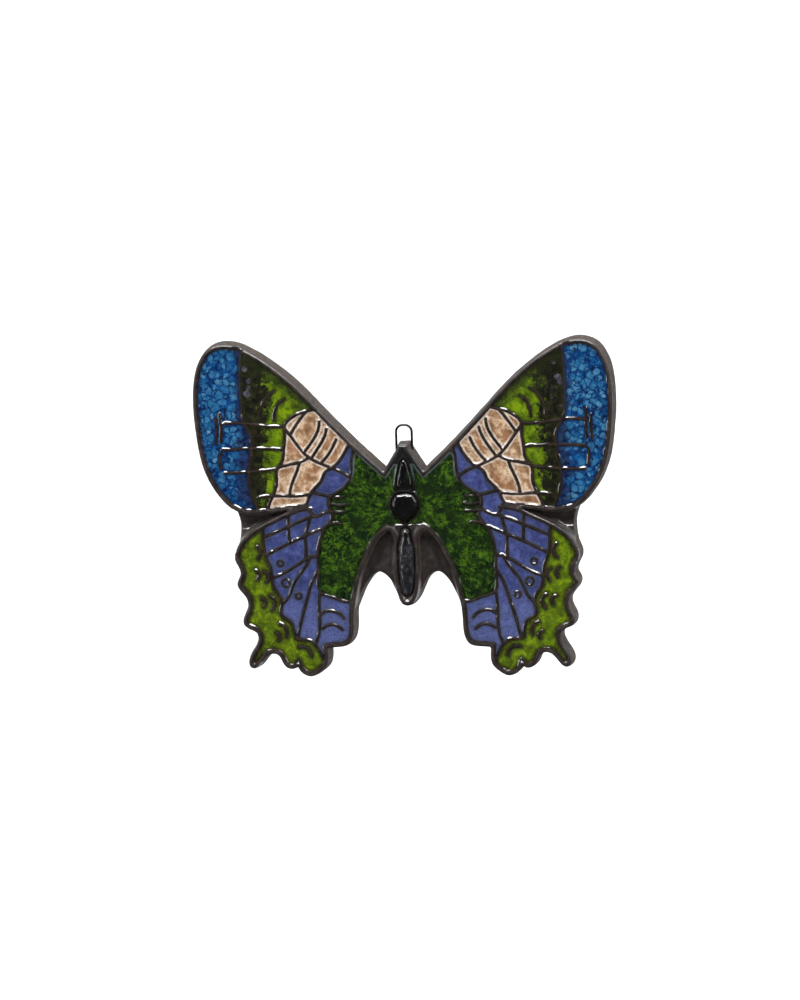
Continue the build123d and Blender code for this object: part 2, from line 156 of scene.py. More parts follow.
def triangles(rings, points=()):
    """Triangulation of the area inside the rings; vertices are the ring points, then the inner points."""
    corners = [Vector(p) for p in [*np.vstack(rings), *points]]
    edges, base = [], 0
    for ring in rings:
        n = len(ring)
        edges += [(base + i, base + (i + 1) % n) for i in range(n)]
        base += n
    verts, _, faces, origin, _, _ = delaunay_2d_cdt(corners, edges, [], 0, 1e-6)
    source = [min(o) if o else None for o in origin]
    tris = np.array([f for f in faces if len(f) == 3])
    flat = np.array([tuple(v) for v in verts])
    keep = inside(flat[tris].mean(axis=1), rings)
    out = []
    for tri in tris[keep]:
        ids = [source[i] for i in tri]
        if None not in ids and len(set(ids)) == 3:
            a, b, c = flat[tri[0]], flat[tri[1]], flat[tri[2]]
            turn = (b[0] - a[0]) * (c[1] - a[1]) - (b[1] - a[1]) * (c[0] - a[0])
            out.append(tuple(ids) if turn > 0 else (ids[0], ids[2], ids[1]))
    return out


def fbm(points, scale, seed, octaves=3):
    """Smooth noise between about -1 and 1 at (x, z) points; scale is the size of a lump in mm."""
    total = np.zeros(len(points))
    for k in range(octaves):
        f = 2 ** k / scale
        total += 0.5 ** k * np.array([noise.noise((x * f, z * f, seed + 7.3 * k)) for x, z in points])
    return total


def quarter(distance, radius):
    """Rises from 0 to 1 over a rounded edge of this radius."""
    t = np.clip(distance / radius, 0, 1)
    return np.sqrt(1 - (1 - t) ** 2)


def blend01(t):
    t = np.clip(t, 0, 1)
    return t * t * (3 - 2 * t)


def flush(points):
    """1 where the line between the blue tip and the dark band sinks level with the glaze, 0 elsewhere."""
    x, z = np.abs(points[:, 0]), points[:, 1]
    across = blend01((x - 25.9) / 0.4) * blend01((28.0 - x) / 0.6)
    upright = blend01((z - 13.0) / 1.2) * blend01((25.6 - z) / 0.8)
    return across * upright


def outward(ring):
    """Unit normals pointing out of an anticlockwise ring."""
    along = np.roll(ring, -1, axis=0) - np.roll(ring, 1, axis=0)
    normal = np.stack([along[:, 1], -along[:, 0]], axis=1)
    return normal / np.maximum(np.linalg.norm(normal, axis=1), 1e-9)[:, None]


# ---------------------------------------------------------------- mesh making

class Shell:
    """Collects vertices and faces of one piece."""

    def __init__(self):
        self.verts, self.faces, self.edge = [], [], []

    def add(self, points, depth, edge=0.0):
        """Adds (x, z) points at the given depths and returns their indices."""
        first = len(self.verts)
        depth = np.broadcast_to(depth, len(points))
        edge = np.broadcast_to(edge, len(points))
        self.verts += [(x * MM, -d * MM, z * MM) for (x, z), d in zip(points, depth)]
        self.edge += list(edge)
        return list(range(first, len(self.verts)))

    def cap(self, tris, ids, front=True):
        for a, b, c in tris:
            self.faces.append((ids[a], ids[b], ids[c]) if front else (ids[a], ids[c], ids[b]))

    def wall(self, upper, lower):
        """Quads between two closed rows of an anticlockwise ring, upper one nearer the front."""
        n = len(upper)
        for i in range(n):
            j = (i + 1) % n
            self.faces.append((upper[i], lower[i], lower[j], upper[j]))

    def build(self, name, material, node):
        """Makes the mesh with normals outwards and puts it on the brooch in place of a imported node."""
        mesh = bpy.data.meshes.new(name)
        mesh.from_pydata(self.verts, [], self.faces)
        attribute = mesh.attributes.new("edge_mm", "FLOAT", "POINT")
        attribute.data.foreach_set("value", np.array(self.edge, np.float32))
        mesh.validate()
        bm = bmesh.new()
        bm.from_mesh(mesh)
        bmesh.ops.recalc_face_normals(bm, faces=bm.faces)
        bm.to_mesh(mesh)
        bm.free()
        mesh.polygons.foreach_set("use_smooth", [True] * len(mesh.polygons))
        mesh.set_sharp_from_angle(angle=math.radians(SHARP_ANGLE))
        mesh.materials.append(material)
        piece = bpy.data.objects.new(name, mesh)
        bpy.context.scene.collection.objects.link(piece)
        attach(piece, "brooch")
        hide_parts(node)


# ---------------------------------------------------------------- materials

class Look:
    """Small helper around one node material. Texture space is the object's own, in millimetres."""

    def __init__(self, name):
        self.mat = bpy.data.materials.new(name)
        self.mat.use_nodes = True
        self.tree = self.mat.node_tree
        self.tree.nodes.clear()
        self.shader = self.node("ShaderNodeBsdfPrincipled")
        self.out = self.node("ShaderNodeOutputMaterial")
        self.tree.links.new(self.shader.outputs[0], self.out.inputs[0])
        place = self.node("ShaderNodeTexCoord")
        in_mm = self.node("ShaderNodeVectorMath", operation="SCALE")
        in_mm.inputs["Scale"].default_value = 1 / MM
        self.tree.links.new(place.outputs["Object"], in_mm.inputs[0])
        self.space = in_mm.outputs[0]

    def node(self, kind, **settings):
        made = self.tree.nodes.new(kind)
        for key, value in settings.items():
            setattr(made, key, value)
        return made

    def put(self, socket, value):
        if hasattr(value, "is_linked"):
            self.tree.links.new(value, socket)
        else:
            socket.default_value = value

    def noise(self, scale, detail=3.0, rough=0.5, distort=0.0, space=None):
        """Noise around 0.5; scale is in lumps per mm."""
        n = self.node("ShaderNodeTexNoise")
        self.put(n.inputs["Vector"], space or self.space)
        n.inputs["Scale"].default_value = scale
        n.inputs["Detail"].default_value = detail
        n.inputs["Roughness"].default_value = rough
        n.inputs["Distortion"].default_value = distort
        return n.outputs["Fac"]

    def cells(self, scale, feature="DISTANCE_TO_EDGE", space=None, output="Distance"):
        """Voronoi cells; scale is in cells per mm."""
        v = self.node("ShaderNodeTexVoronoi", feature=feature)
        self.put(v.inputs["Vector"], space or self.space)
        v.inputs["Scale"].default_value = scale
        return v.outputs[output]

    def warped(self, amount, scale):
        """Texture space pushed about by noise, so that patterns don't run straight."""
        n = self.node("ShaderNodeTexNoise")
        self.put(n.inputs["Vector"], self.space)
        n.inputs["Scale"].default_value = scale
        centre = self.node("ShaderNodeVectorMath", operation="SUBTRACT")
        self.put(centre.inputs[0], n.outputs["Color"])
        centre.inputs[1].default_value = (0.5, 0.5, 0.5)
        size = self.node("ShaderNodeVectorMath", operation="SCALE")
        self.put(size.inputs[0], centre.outputs[0])
        size.inputs["Scale"].default_value = amount
        total = self.node("ShaderNodeVectorMath", operation="ADD")
        self.put(total.inputs[0], self.space)
        self.put(total.inputs[1], size.outputs[0])
        return total.outputs[0]

    def axis(self, which):
        split = self.node("ShaderNodeSeparateXYZ")
        self.put(split.inputs[0], self.space)
        return split.outputs[which]

    def across(self):
        """Distance in mm from the plane of symmetry."""
        return self.math("ABSOLUTE", self.axis("X"))

    def edge(self):
        """Distance in mm from the nearest edge of a glaze pool."""
        return self.node("ShaderNodeAttribute", attribute_name="edge_mm").outputs["Fac"]

    def turned_away(self):
        """0 where the surface faces the front, 1 where it faces sideways, 2 where it faces back."""
        facing = self.node("ShaderNodeNewGeometry").outputs["True Normal"]
        turned = self.node("ShaderNodeVectorTransform", vector_type="NORMAL", convert_from="WORLD",
                           convert_to="OBJECT")
        split = self.node("ShaderNodeSeparateXYZ")
        self.put(turned.inputs[0], facing)
        self.put(split.inputs[0], turned.outputs[0])
        return self.plus(split.outputs["Y"], 1.0)

    def math(self, operation, a, b=0.0):
        m = self.node("ShaderNodeMath", operation=operation)
        for socket, value in zip(m.inputs, (a, b)):
            self.put(socket, value)
        return m.outputs[0]

    def plus(self, a, b):
        return self.math("ADD", a, b)

    def minus(self, a, b):
        return self.math("SUBTRACT", a, b)

    def times(self, a, b):
        return self.math("MULTIPLY", a, b)

    def span(self, value, low, high, to_low=0.0, to_high=1.0):
        """Smoothly maps low..high onto to_low..to_high."""
        r = self.node("ShaderNodeMapRange", interpolation_type="SMOOTHSTEP")
        for socket, v in zip(r.inputs, (value, low, high, to_low, to_high)):
            self.put(socket, v)
        return r.outputs[0]

    def ramp(self, value, *stops):
        """Colour ramp through (position, colour) stops, colours as sRGB 0..255."""
        r = self.node("ShaderNodeValToRGB")
        self.put(r.inputs[0], value)
        elements = r.color_ramp.elements
        while len(elements) < len(stops):
            elements.new(0.5)
        for element, (position, colour) in zip(elements, stops):
            element.position = position
            element.color = paint(*colour)
        return r.outputs[0]

    def mix(self, share, a, b):
        m = self.node("ShaderNodeMix", data_type="RGBA")
        self.put(m.inputs[0], share)
        self.put(m.inputs[6], a)
        self.put(m.inputs[7], b)
        return m.outputs[2]

    def bump(self, height, distance_mm):
        b = self.node("ShaderNodeBump")
        self.put(b.inputs["Height"], height)
        b.inputs["Distance"].default_value = distance_mm * MM
        self.tree.links.new(b.outputs[0], self.shader.inputs["Normal"])

    def finish(self, colour, rough, coat=0.0, coat_rough=0.05, metallic=0.0, specular=0.5):
        """Sets the surface; coat or specular None means that it is already driven by a pattern."""
        self.put(self.shader.inputs["Base Color"], colour)
        self.put(self.shader.inputs["Roughness"], rough)
        if coat is not None:
            self.shader.inputs["Coat Weight"].default_value = coat
        self.shader.inputs["Coat Roughness"].default_value = coat_rough
        self.shader.inputs["Metallic"].default_value = metallic
        if specular is not None:
            self.shader.inputs["Specular IOR Level"].default_value = specular
        return self.mat


def paint(r, g, b):
    """sRGB 0..255 as a linear colour."""
    def linear(v):
        return v / 255 / 12.92 if v <= 10 else ((v / 255 + 0.055) / 1.055) ** 2.4
    return linear(r), linear(g), linear(b), 1.0


def edge_tinted(look, colour, tint, reach, strength=1.0):
    """Colour turning towards tint within reach of the pool's edge."""
    wobble = look.times(look.noise(1.6, 3), reach)
    near = look.span(look.minus(look.edge(), wobble), -reach * 0.2, reach * 0.8, strength, 0.0)
    return look.mix(near, colour, paint(*tint))


def brown_shore(look, colour, width=0.1, tint=(44, 31, 27)):
    """Iron from the clay line stains the last bit of glaze beside it, unevenly."""
    wobble = look.times(look.noise(2.2, 4, 0.7), width * 1.6)
    near = look.span(look.minus(look.edge(), wobble), -width * 0.4, width * 0.6, 1.0, 0.0)
    return look.mix(near, colour, paint(*tint))


def blue_glaze():
    """Rounded pale islands packed in clear blue, parted by dark crackle, dusky towards the root."""
    look = Look("tip_blue_glaze")
    island_scale = 0.8
    warp = look.warped(0.7, 1.2)
    ragged = look.times(look.minus(look.noise(1.8, 4, 0.65), 0.5), 0.36)
    sea = look.ramp(look.noise(0.9, 5, 0.7),
                    (0.34, (4, 24, 60)), (0.46, (8, 52, 104)), (0.6, (16, 88, 150)))
    tone = look.plus(look.times(look.cells(island_scale, "F1", warp, "Color"), 0.5),
                     look.times(look.noise(1.5, 4), 0.6))
    island = look.ramp(tone, (0.32, (16, 70, 118)), (0.5, (38, 98, 142)), (0.68, (66, 122, 156)),
                       (0.85, (96, 146, 174)))
    # large islands packed closely in some places, small loose ones in the others
    from_gap = look.cells(island_scale, space=warp)
    rounded = look.minus(0.66, look.cells(island_scale, "F1", warp))
    large = look.plus(look.math("MINIMUM", from_gap, rounded), ragged)
    small = look.minus(0.3, look.plus(look.cells(1.7, "F1", look.warped(0.35, 2.2)), ragged))
    loose = look.mix(look.span(small, 0.0, 0.09, 0.0, 0.8), sea, island)
    blocks = look.mix(look.span(large, 0.0, 0.13), sea, island)
    colour = look.mix(look.span(look.noise(0.45, 4, 0.6), 0.4, 0.48), loose, blocks)
    crack = look.plus(from_gap, look.times(look.noise(1.3, 4, 0.6), 0.1))
    colour = look.mix(look.span(crack, 0.05, 0.11, 0.85, 0.0), colour, paint(12, 22, 48))
    rust = look.span(look.noise(1.4, 5, 0.8), 0.58, 0.67, 0.0, 0.65)
    colour = look.mix(rust, colour, paint(30, 24, 46))
    # dusk towards the root of the wing
    from_root = look.plus(look.across(), look.span(look.noise(0.6, 4), 0.3, 0.7, -0.9, 0.9))
    haze = look.ramp(look.noise(1.3, 4), (0.4, (12, 18, 44)), (0.65, (40, 50, 88)))
    colour = look.mix(look.span(from_root, 26.4, 28.4, 0.85, 0.0), colour, haze)
    colour = edge_tinted(look, colour, (10, 34, 70), 0.4, 0.6)
    colour = brown_shore(look, colour)
    look.bump(look.noise(1.2, 2), 0.03)
    return look.finish(colour, 0.12, 1.0, 0.03)


def mottled(look, scale, dark, mid, light, spots):
    """Fibrous mottle with fine dark spots, spots being their strength."""
    warp = look.warped(0.9, 1.3)
    body = look.ramp(look.noise(scale, 6, 0.72, 0.6, warp), (0.36, dark), (0.49, mid), (0.6, light))
    fine = look.noise(2.6, 5, 0.8, 0.5)
    return look.mix(look.span(fine, 0.5 + 0.08 * (1 - spots), 0.62, 0.0, spots), body, paint(*dark))


def forewing_green_glaze():
    """Lime beside the cream, breaking up through brown-black mottle into a dark band along the blue."""
    look = Look("forewing_green_glaze")
    across, z = look.across(), look.axis("Z")
    green = mottled(look, 0.6, (52, 66, 8), (88, 114, 8), (120, 148, 8), 0.45)
    dark = mottled(look, 1.1, (14, 13, 12), (24, 23, 17), (50, 54, 24), 0.5)
    # grey-violet ovals at the upper end of the dark band
    ovals = look.span(look.cells(0.62, "F1", look.warped(0.5, 1.0)), 0.26, 0.42, 0.8, 0.0)
    beside_blue = look.times(look.span(across, 24.4, 25.3), look.span(z, 13.0, 14.0))
    grey = look.ramp(look.noise(1.6, 3), (0.35, (50, 48, 62)), (0.65, (104, 100, 114)))
    dark = look.mix(look.times(ovals, beside_blue), dark, grey)
    # ragged border between the green and the band
    islands = look.minus(look.noise(1.5, 6, 0.75, 0.4), 0.5)
    past = look.minus(across, look.span(z, 11.5, 14.0, 22.4, 22.0))
    past = look.plus(past, look.times(islands, 7.0))
    past = look.plus(past, look.span(look.noise(0.5, 3), 0.3, 0.7, -0.9, 0.9))
    colour = look.mix(look.span(past, -0.5, 1.0), green, dark)
    # darker mottle along the upper edge of the wing
    high = look.minus(z, look.times(across, 0.86))
    high = look.plus(high, look.times(islands, 6.0))
    colour = look.mix(look.span(high, -1.0, 2.0, 0.0, 0.85), colour, paint(36, 42, 20))
    colour = edge_tinted(look, colour, (36, 40, 14), 0.4, 0.7)
    colour = brown_shore(look, colour)
    look.bump(look.noise(2.0, 3), 0.04)
    return look.finish(colour, 0.16, 1.0, 0.04)


def lime_margin_glaze():
    """Sharp lime with fine dark speckle, toasted along its edges."""
    look = Look("lime_margin_glaze")
    colour = mottled(look, 0.8, (64, 76, 8), (88, 112, 6), (120, 148, 10), 0.6)
    veil = look.span(look.noise(4.5, 5, 0.85), 0.5, 0.6, 0.0, 0.5)
    colour = look.mix(veil, colour, paint(58, 66, 14))
    colour = edge_tinted(look, colour, (42, 44, 14), 0.6, 0.85)
    colour = brown_shore(look, colour)
    look.bump(look.noise(2.2, 4), 0.06)
    return look.finish(colour, 0.16, 1.0, 0.04)


def dark_green_glaze():
    """Deep moss green, fibrous, its strokes spreading out from the thorax, with blackish drifts."""
    look = Look("dark_green_glaze")
    x, z = look.axis("X"), look.plus(look.axis("Z"), 2.0)
    angle = look.math("ARCTAN2", z, look.across())
    reach = look.math("SQRT", look.plus(look.times(x, x), look.times(z, z)))
    strokes = look.node("ShaderNodeCombineXYZ")
    look.put(strokes.inputs[0], look.times(angle, 10.0))
    look.put(strokes.inputs[1], look.times(reach, 0.45))
    look.put(strokes.inputs[2], look.math("SIGN", x))
    fibre = look.noise(1.7, 7, 0.78, 0.8, strokes.outputs[0])
    blot = look.noise(1.0, 7, 0.76, 0.5, look.warped(0.9, 1.3))
    colour = look.ramp(look.times(look.plus(fibre, blot), 0.5),
                       (0.4, (3, 12, 7)), (0.47, (14, 34, 9)), (0.52, (38, 66, 10)), (0.59, (78, 112, 20)))
    flecks = look.span(look.noise(3.6, 6, 0.85, 0.8), 0.56, 0.64, 0.0, 0.75)
    colour = look.mix(flecks, colour, paint(84, 116, 30))
    drift = look.span(look.noise(0.34, 4, 0.6), 0.48, 0.62, 0.0, 0.7)
    colour = look.mix(drift, colour, paint(10, 22, 12))
    colour = edge_tinted(look, colour, (14, 20, 12), 0.4, 0.7)
    # a painted highlight: a white-grey line along the rim beside the head
    rim_highlight = look.minus(look.edge(), look.times(look.noise(1.5, 3), 0.4))
    rim_highlight = look.times(look.span(rim_highlight, -0.05, 0.2, 0.75, 0.0), look.span(look.axis("Z"), 2.0, 4.0))
    colour = look.mix(rim_highlight, colour, paint(92, 104, 104))
    look.bump(look.plus(look.noise(2.4, 4), fibre), 0.05)
    return look.finish(colour, 0.15, 1.0, 0.04)


def cream_glaze():
    """Warm cream, toasted in drifts and freckled with iron, paler along the lines, partly where it runs
    thick and partly as a painted highlight.
    """
    look = Look("cream_glaze")
    body = look.ramp(look.noise(0.7, 5, 0.7),
                     (0.36, (118, 82, 52)), (0.49, (166, 128, 94)), (0.61, (218, 188, 156)))
    body = look.mix(look.span(look.noise(0.4, 3), 0.5, 0.64, 0.0, 0.5), body, paint(160, 100, 58))
    # paler along the lines: partly thick glaze, partly a painted highlight
    pale = look.minus(look.edge(), look.times(look.noise(1.0, 4, 0.65), 0.9))
    body = look.mix(look.span(pale, -0.35, 0.1, 0.9, 0.0), body, paint(244, 230, 212))
    speck = look.span(look.noise(3.4, 6, 0.85), 0.51, 0.6, 0.0, 0.7)
    body = look.mix(speck, body, paint(116, 76, 48))
    body = brown_shore(look, body, 0.14, (60, 36, 26))
    look.bump(look.noise(3.0, 3), 0.04)
    return look.finish(body, 0.3, 0.9, 0.08)


def violet_glaze(name):
    """Violet, breaking to smoke grey where it thins over the clay lines."""
    look = Look(name)
    body = look.ramp(look.noise(0.7, 5, 0.65),
                     (0.34, (46, 54, 100)), (0.5, (60, 69, 124)), (0.66, (80, 90, 150)))
    lobe = look.span(look.axis("Z"), -19.5, -15.0, 0.45, 0.0)
    body = look.mix(lobe, body, paint(98, 108, 156))
    body = look.mix(look.span(look.noise(2.6, 6, 0.85), 0.5, 0.6, 0.0, 0.6), body, paint(40, 44, 74))
    smoke = look.minus(look.edge(), look.times(look.noise(0.8, 5, 0.7), 1.1))
    body = look.mix(look.span(smoke, -0.45, 0.0, 0.8, 0.0), body, paint(66, 72, 88))
    body = brown_shore(look, body, 0.12, (36, 32, 36))
    look.bump(look.noise(1.2, 4), 0.06)
    return look.finish(body, 0.2, 1.0, 0.05)


def body_black_glaze():
    """Near-black glaze with rusty drifts, green run in over the head and slate grey on the abdomen."""
    look = Look("body_black_glaze")
    z = look.axis("Z")
    body = look.ramp(look.noise(0.8, 5, 0.6), (0.35, (5, 5, 7)), (0.6, (11, 11, 12)), (0.8, (30, 29, 30)))
    slate = look.ramp(look.noise(0.9, 5, 0.7),
                      (0.35, (16, 17, 21)), (0.55, (40, 41, 46)), (0.72, (84, 84, 90)))
    body = look.mix(look.span(z, -8.4, -6.6, 1.0, 0.0), body, slate)
    run_in = look.plus(look.across(), look.span(look.noise(0.9, 4, 0.7), 0.3, 0.7, -0.7, 0.7))
    run_in = look.times(look.span(run_in, 0.6, 1.2, 0.0, 0.8), look.span(z, 1.2, 2.6))
    body = look.mix(run_in, body, paint(24, 48, 14))
    body = look.mix(look.span(look.noise(1.8, 5, 0.75), 0.57, 0.66, 0.0, 0.65), body, paint(66, 40, 26))
    look.bump(look.noise(1.4, 4, 0.6), 0.14)
    return look.finish(body, 0.1, 1.0, 0.03)


def front_stripe(look, x_from, x_to, z_from, z_to):
    """1 inside an upright stripe on the front of either wing, 0 elsewhere; its borders are soft."""
    x, z = look.across(), look.axis("Z")
    across = look.times(look.span(x, x_from, x_from + 0.5), look.span(x, x_to - 0.6, x_to, 1.0, 0.0))
    upright = look.times(look.span(z, z_from, z_from + 1.0), look.span(z, z_to - 0.5, z_to, 1.0, 0.0))
    front = look.span(look.axis("Y"), -3.0, -2.8, 1.0, 0.0)
    return look.times(look.times(across, upright), front)


def stoneware():
    """Iron-brown clay: dry on the thin lines, glassy on the rim, paler on the cut edge and the back."""
    look = Look("stoneware")
    turned = look.turned_away()
    body = look.ramp(look.noise(0.9, 5, 0.6),
                     (0.3, (24, 17, 15)), (0.5, (41, 31, 27)), (0.72, (66, 52, 46)))
    pits = look.span(look.noise(5.0, 3, 0.6), 0.57, 0.66, 0.0, 0.7)
    body = look.mix(pits, body, paint(18, 13, 11))
    # darker around the black body, and along the blue tip, where the line sinks into the glaze
    beside_body = look.times(front_stripe(look, -1.0, 3.0, -5.4, 9.0), 0.85)
    body = look.mix(beside_body, body, paint(11, 10, 11))
    beside_blue = front_stripe(look, 25.9, 28.0, 13.0, 25.0)
    body = look.mix(beside_blue, body, paint(14, 18, 36))
    # the cut edge
    depth = look.times(look.axis("Y"), -1.0)
    edge = look.times(look.span(depth, 3.3, 3.8, 1.0, 0.0), look.span(turned, 0.35, 0.8))
    side = look.ramp(look.noise(1.6, 5, 0.65),
                     (0.3, (58, 50, 46)), (0.6, (94, 85, 79)), (0.8, (116, 107, 100)))
    body = look.mix(look.times(edge, 0.9), body, side)
    # the raw back, with dark and pale grains of grog
    raw = look.ramp(look.noise(0.16, 7, 0.72, 0.4),
                    (0.34, (66, 54, 47)), (0.5, (92, 78, 68)), (0.66, (118, 102, 90)))
    grog = look.span(look.cells(1.3, "F1", look.warped(0.4, 1.5)), 0.1, 0.2, 0.8, 0.0)
    grog = look.times(grog, look.span(look.noise(0.9, 3), 0.48, 0.56))
    grains = look.ramp(look.noise(1.1, 2), (0.45, (38, 27, 22)), (0.55, (146, 130, 114)))
    raw = look.mix(grog, raw, grains)
    body = look.mix(look.span(turned, 1.6, 1.85), body, raw)
    look.bump(look.plus(look.noise(3.0, 6, 0.7), look.times(look.plus(pits, grog), -0.4)), 0.06)
    # only the rim and the sunk line are glassy
    glassy = look.math("MAXIMUM", look.span(look.edge(), 0.14, 0.3), beside_blue)
    glassy = look.times(glassy, look.span(turned, 1.2, 1.7, 1.0, 0.0))
    look.put(look.shader.inputs["Coat Weight"], look.times(glassy, 0.9))
    look.put(look.shader.inputs["Specular IOR Level"], look.span(glassy, 0.0, 1.0, 0.12, 0.5))
    uneven = look.span(look.noise(1.2, 3), 0.3, 0.7, 0.3, 0.5)
    rough = look.plus(uneven, look.span(glassy, 0.0, 1.0, 0.3, 0.0))
    return look.finish(body, rough, None, 0.07, 0.0, None)


def metal(name, colour, rough, scratches, grain=(1.0, 14.0, 14.0)):
    """Plated or drawn metal with fine wear lines along X and slightly uneven gloss."""
    look = Look(name)
    stretch = look.node("ShaderNodeVectorMath", operation="MULTIPLY")
    look.put(stretch.inputs[0], look.space)
    stretch.inputs[1].default_value = grain
    lines = look.noise(1.2, 4, 0.6, 0.0, stretch.outputs[0])
    dull = tuple(0.62 * c for c in colour)
    body = look.mix(look.span(lines, 0.4, 0.75, 0.0, scratches), paint(*colour), paint(*dull))
    grime = look.span(look.noise(0.8, 4), 0.55, 0.8, 0.0, 0.5)
    body = look.mix(grime, body, paint(*(0.45 * c for c in colour)))
    look.bump(lines, 0.006)
    uneven = look.span(look.noise(1.5, 3), 0.3, 0.7, rough * 0.8, rough * 1.5)
    return look.finish(body, uneven, metallic=1.0)


def epoxy():
    look = Look("epoxy")
    body = look.ramp(look.noise(0.7, 4), (0.3, (150, 134, 100)), (0.7, (186, 172, 140)))
    bubbles = look.span(look.cells(2.4, "F1"), 0.0, 0.16, 1.0, 0.0)
    body = look.mix(look.times(bubbles, 0.5), body, paint(214, 204, 180))
    look.bump(look.plus(look.noise(1.2, 3), bubbles), 0.04)
    return look.finish(body, 0.3, 0.4, 0.1)


# ---------------------------------------------------------------- clay and glazes

POOLS = {}  # evened outlines of every glaze node
for side in ("left", "right"):
    for glaze in GLAZES:
        rings = outlines(f"{side}_{glaze}", GLAZE)
        POOLS[f"{side}_{glaze}"] = [evened(r, OUTLINE_STEP, 1) for r in rings]
body_rings = outlines("body_black_glaze", FLOOR)
POOLS["body_black_glaze"] = [evened(r[::-1], OUTLINE_STEP, 2) for r in body_rings]


def pool_depth(points, distance, seed):
    """Glaze surface: uneven in the middle, climbing up the clay at its edge."""
    middle = blend01(distance / 0.5)
    share = np.clip(0.55 + 0.9 * fbm(points, 2.2, seed + 40.0, 2), 0.1, 1.3)
    climb = MENISCUS * share * (1 - 0.8 * flush(points))
    lumps = GLAZE_LUMPS * fbm(points, 1.3, seed) * middle
    return GLAZE_LEVEL + climb * np.exp(-distance / MENISCUS_REACH) + lumps


def body_depth(points, distance, seed):
    """Three rounded domes: chest, thorax and abdomen."""
    z = points[:, 1]
    height, radius = np.where(z > THORAX_TOP, np.array(CHEST_DOME)[:, None],
                              np.where(z > THORAX_FOOT, np.array(THORAX_DOME)[:, None],
                                       np.array(ABDOMEN_DOME)[:, None]))
    lumps = 0.09 * fbm(points, 0.9, seed) * blend01(distance / 0.4)
    return BODY_LEVEL + height * quarter(distance, radius) + lumps


def make_pool(name, material):
    """One piece per packed glaze node: all its pools, each with a flat floor and a shaped surface."""
    rings = POOLS[name]
    near = Nearness(rings)
    inner = grid_inside(rings, POOL_STEP, 0.09, near)
    every = np.vstack(rings + [inner])
    distance = np.r_[np.zeros(len(every) - len(inner)), near(inner)]
    seed = sum(map(ord, name)) % 97
    surface = body_depth if name == "body_black_glaze" else pool_depth
    depth = surface(every, distance, seed)
    shell = Shell()
    top = shell.add(every, depth, distance)
    ring_count = len(every) - len(inner)
    bottom = shell.add(every[:ring_count], FLOOR)
    shell.cap(triangles(rings, inner), top)
    shell.cap(triangles(rings), bottom, front=False)
    base = 0
    for ring in rings:
        span = range(base, base + len(ring))
        shell.wall([top[i] for i in span], [bottom[i] for i in span])
        base += len(ring)
    shell.build(name + "_pool", material, name)


def anticlockwise(ring):
    return ring if area(ring) > 0 else ring[::-1]


# The back of the slab has two outlines, its own and that of the recess.
back_rings = sorted(outlines("clay_body", 0.0), key=lambda r: -abs(area(r)))
slab, recess = [anticlockwise(evened(r, OUTLINE_STEP, 1)) for r in back_rings[:2]]
relief = max(outlines("clay_body", RIM), key=lambda r: abs(area(r)))
relief = evened(anticlockwise(relief), OUTLINE_STEP, 1)
pool_rings = [ring for rings in POOLS.values() for ring in rings]
to_slab, to_relief, to_pool = Nearness([slab]), Nearness([relief]), Nearness(pool_rings)


def web_fan(points):
    """Soft ridges that spread from the top of each web beside the abdomen down to its lower edge."""
    x, z = np.abs(points[:, 0]) - 2.9, points[:, 1] + 5.2
    ridges = np.cos(np.arctan2(x, -z) * 13.0 - 1.0)
    return 0.16 * ridges * blend01((np.hypot(x, z) - 1.0) / 4.0) * (z < 0)


def clay_depth(points):
    """Front surface of the clay: rim, raised veins and sunken webs."""
    pool, rim, slab_edge = to_pool(points), to_relief(points), to_slab(points)
    on_relief = inside(points, [relief]) | (rim < 0.02)
    crest = VEIN + (RIM - VEIN) * blend01((RIM_WIDTH - rim) / RIM_SLOPE)
    lumps = 0.035 * fbm(points, 1.1, 3.0)
    crest = crest + lumps - (crest - GLAZE_LEVEL) * 0.9 * flush(points)
    foot = GLAZE_LEVEL + 0.08
    worn = RIM_ROUND * (1 - quarter(rim, RIM_ROUND))
    raised = foot + (crest - foot) * quarter(pool, CREST_ROUND) - worn
    fold = 0.1 * fbm(points, 2.4, 11.0, 2) + web_fan(points)
    ramp = (RIM - RIM_ROUND - WEB) * np.exp(-rim / 0.16)
    sunken = WEB + fold + ramp - 0.3 * (1 - quarter(slab_edge, WEB_ROUND))
    return np.where(on_relief, raised, sunken)


